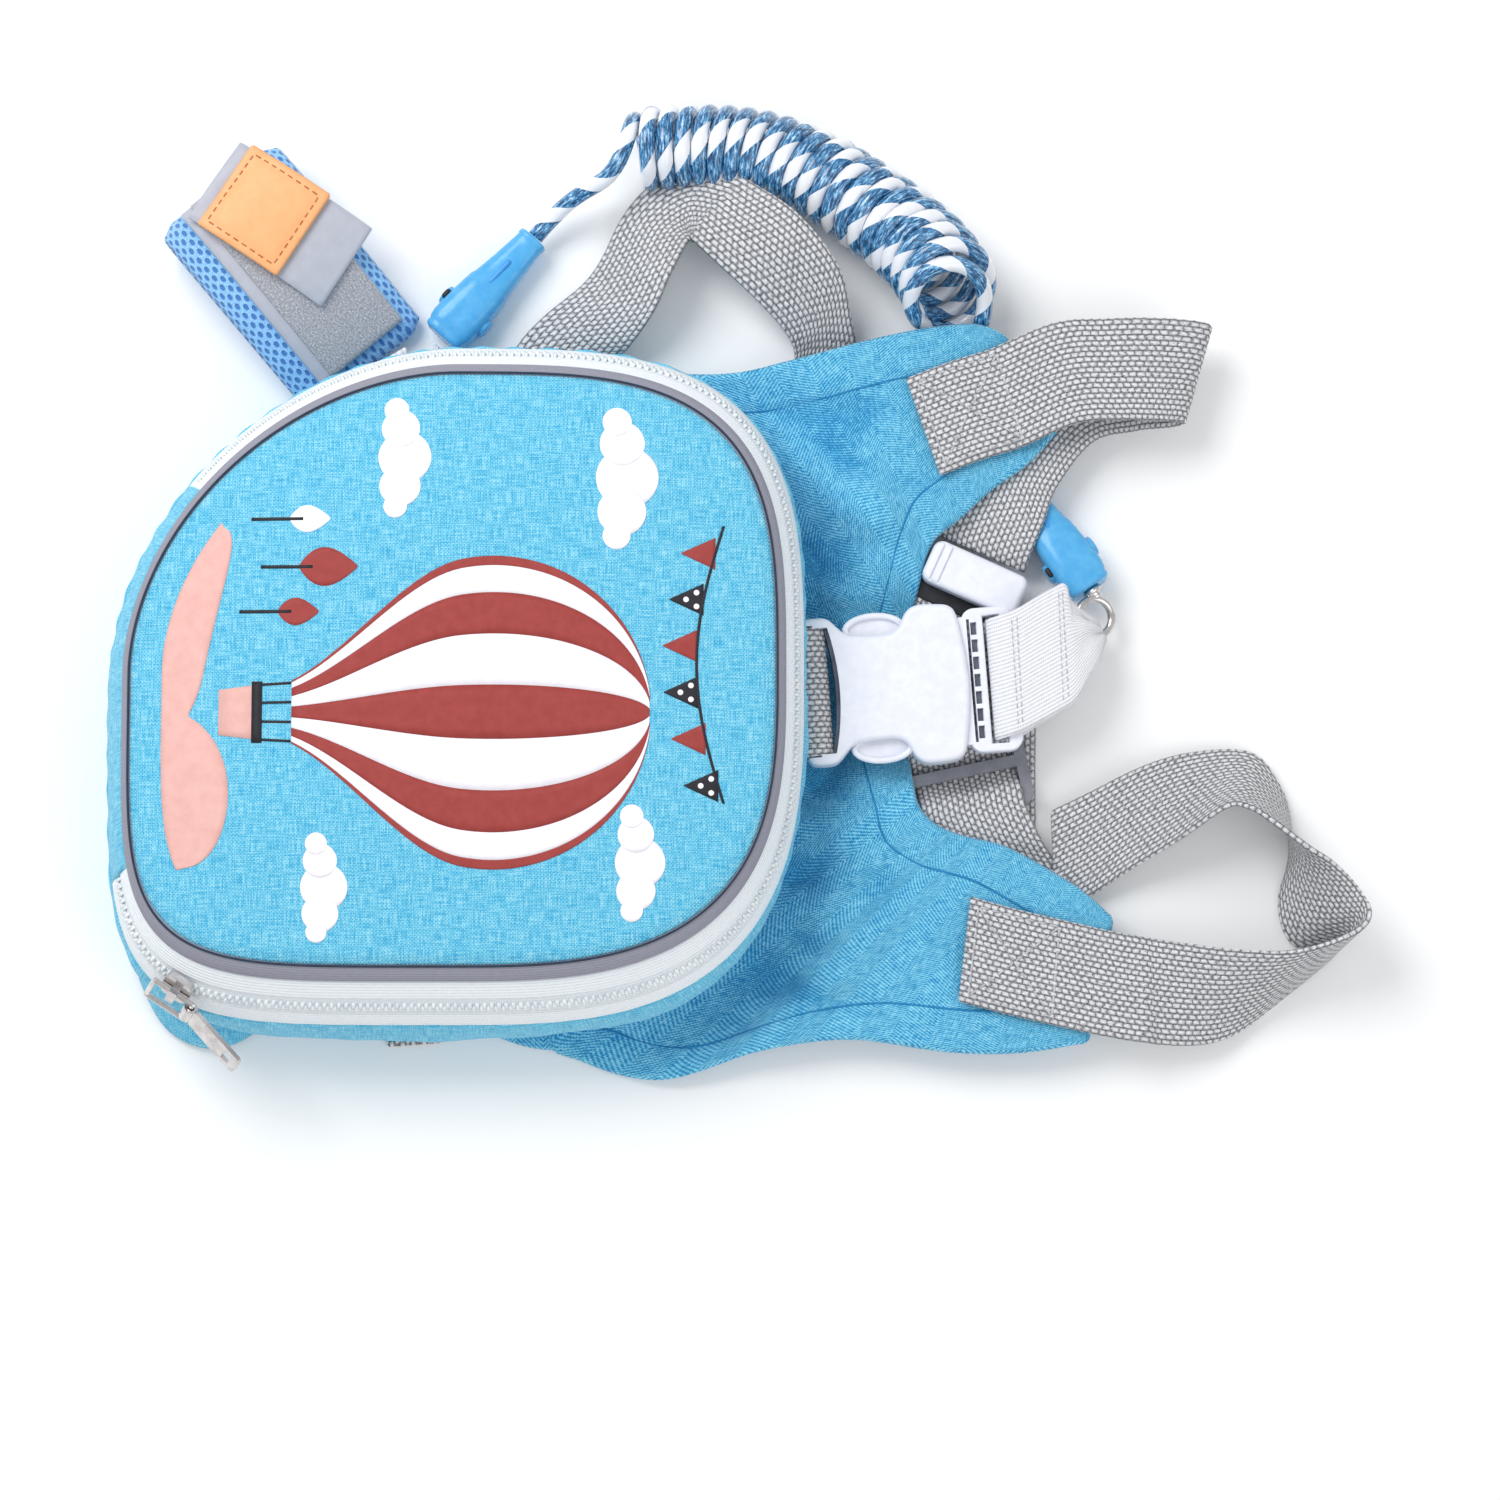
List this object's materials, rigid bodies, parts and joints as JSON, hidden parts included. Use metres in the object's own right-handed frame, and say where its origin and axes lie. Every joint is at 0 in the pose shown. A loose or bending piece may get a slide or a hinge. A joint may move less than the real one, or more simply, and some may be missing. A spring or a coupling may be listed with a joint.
{
  "type": "toddler harness backpack",
  "caption": "Small round-cornered zipped backpack with shoulder wings and webbing straps, a buckled coiled leash and a padded wrist cuff, lying on its back.",
  "frame": {"origin": "middle of the pouch's back, on the surface that it lies on", "axes": "+X towards the top of the pouch, where the wings leave it; +Z out of the front panel; +Y to the upper wing and the cuff"},
  "size_m": [0.3684, 0.2921, 0.0566],
  "materials": {
    "blue_cloth": "pale cyan-blue twill cloth",
    "grey_trim": "flat grey bias trim",
    "zip_tape": "white zip tape with coil teeth",
    "grey_webbing": "coarse grey basket-weave webbing",
    "white_webbing": "white ribbed webbing",
    "white_plastic": "white moulded plastic",
    "grey_plastic": "grey moulded plastic",
    "blue_plastic": "translucent blue plastic",
    "cord": "clear blue cord cover over a glittering core",
    "mesh_cloth": "blue spacer mesh",
    "loop_tape": "grey hook-and-loop tape",
    "orange_leather": "orange soft leather",
    "nickel": "warm polished nickel plate"
  },
  "bodies": {
    "pack": {"pouch_piping": "grey_trim", "zip_tape_front": "zip_tape", "zip_chain": "zip_tape", "zip_tape_back": "zip_tape", "pouch_side_wall": "blue_cloth", "pouch_gusset": "blue_cloth", "pouch_front": "blue_cloth", "back_panel": "blue_cloth", "corner_tab": "blue_cloth", "shoulder_yoke": "blue_cloth", "strap_upper": "grey_webbing", "strap_lower": "grey_webbing", "strap_side_loop": "grey_webbing", "strap_stub": "grey_webbing", "chest_strap": "grey_webbing", "chest_strap_tail": "grey_webbing", "tri_glide": "grey_plastic", "chest_buckle": "white_plastic", "buckle_female": "white_plastic", "buckle_male": "white_plastic", "haul_webbing": "grey_webbing", "leash_webbing": "white_webbing", "leash_coil": "cord", "leash_lead_wrist": "cord", "leash_lead_pack": "cord", "connector_pack": "blue_plastic", "connector_wrist": "blue_plastic", "leash_swivel": "nickel", "cuff_pad": "mesh_cloth", "cuff_loop_strip": "loop_tape", "cuff_hook_tab": "loop_tape", "cuff_patch": "orange_leather", "cuff_webbing": "white_webbing", "zip_slider": "nickel"},
    "pull_link": {"pull_link": "nickel"},
    "pull_tab": {"pull_tab": "nickel"}
  },
  "joints": [
    {"name": "link_hinge", "type": "hinge", "parent": "pack", "child": "pull_link", "pos_m": [-0.07976, -0.09145, 0.0436], "axis": [-0.8249, 0.5532, 0.1163], "range_deg": [0, 90]},
    {"name": "tab_hinge", "type": "hinge", "parent": "pull_link", "child": "pull_tab", "pos_m": [-0.07604, -0.09692, 0.04005], "axis": [-0.4401, -0.4994, -0.7463], "range_deg": [0, 110]}
  ]
}
